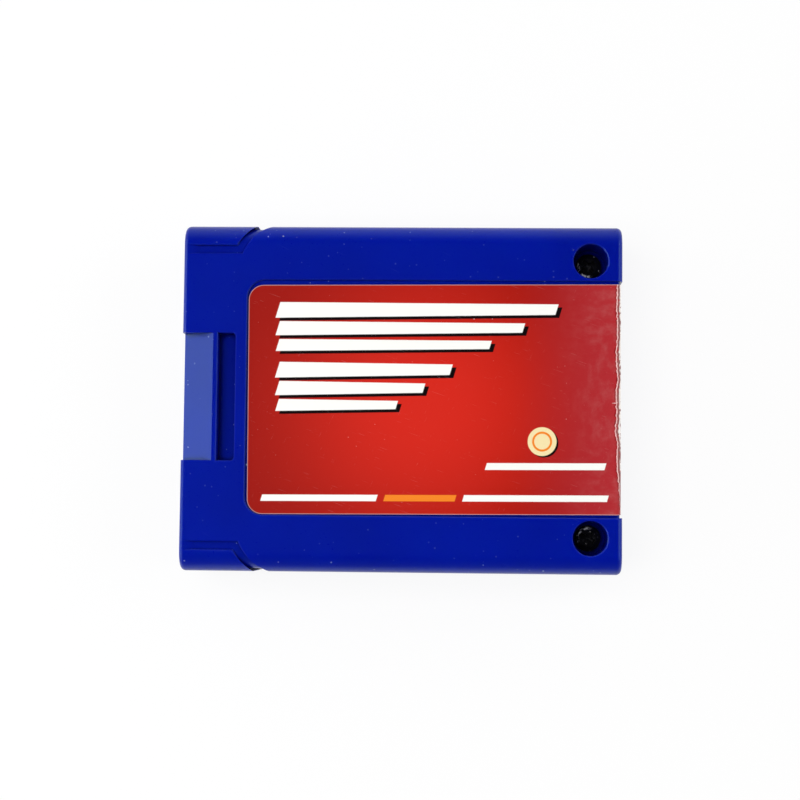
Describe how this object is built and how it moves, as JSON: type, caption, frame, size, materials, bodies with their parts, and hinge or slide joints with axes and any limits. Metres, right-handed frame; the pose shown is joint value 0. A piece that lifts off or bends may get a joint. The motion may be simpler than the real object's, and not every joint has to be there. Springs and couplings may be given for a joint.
{
  "type": "console memory card",
  "caption": "Flat blue plastic memory card with a red label folded over its outer end, a latch ramp and pocket, and a board edge connector inside a mouth at the other end.",
  "frame": {"origin": "under the middle of the card, on the plane that it lies on", "axes": "+X along the card to its outer end, +Y across it, +Z out of the labelled face"},
  "size_m": [0.0584, 0.0464, 0.0155],
  "materials": {
    "blue_plastic": "satin moulded plastic with a fine spark texture",
    "label_print": "coated printed paper, worn white along its fold",
    "black_steel": "black oxide",
    "board_mask": "green solder mask on glass laminate",
    "gold_plate": "gold flash",
    "chip_plastic": "moulded black",
    "tinned_leads": "matt tin",
    "cell_steel": "nickel plate",
    "foam": "fine foam",
    "capacitor_ceramic": "matt",
    "resistor_ceramic": "matt",
    "solder": "satin solder"
  },
  "bodies": {
    "root": {"upper_shell": "blue_plastic", "lower_shell": "blue_plastic", "label": "label_print", "case_screws": "black_steel", "circuit_board": "board_mask", "upper_contacts": "gold_plate", "lower_contacts": "gold_plate", "memory_chip": "chip_plastic", "memory_chip_leads": "tinned_leads", "logic_chip": "chip_plastic", "logic_chip_leads": "tinned_leads", "supervisor_chip": "chip_plastic", "supervisor_chip_leads": "tinned_leads", "diode": "chip_plastic", "diode_leads": "tinned_leads", "coin_cell": "cell_steel", "cell_pad": "foam", "positive_tab": "cell_steel", "negative_tab": "cell_steel", "capacitors": "capacitor_ceramic", "capacitor_terminals": "tinned_leads", "resistors": "resistor_ceramic", "resistor_terminals": "tinned_leads", "solder_joints": "solder"}
  },
  "joints": []
}
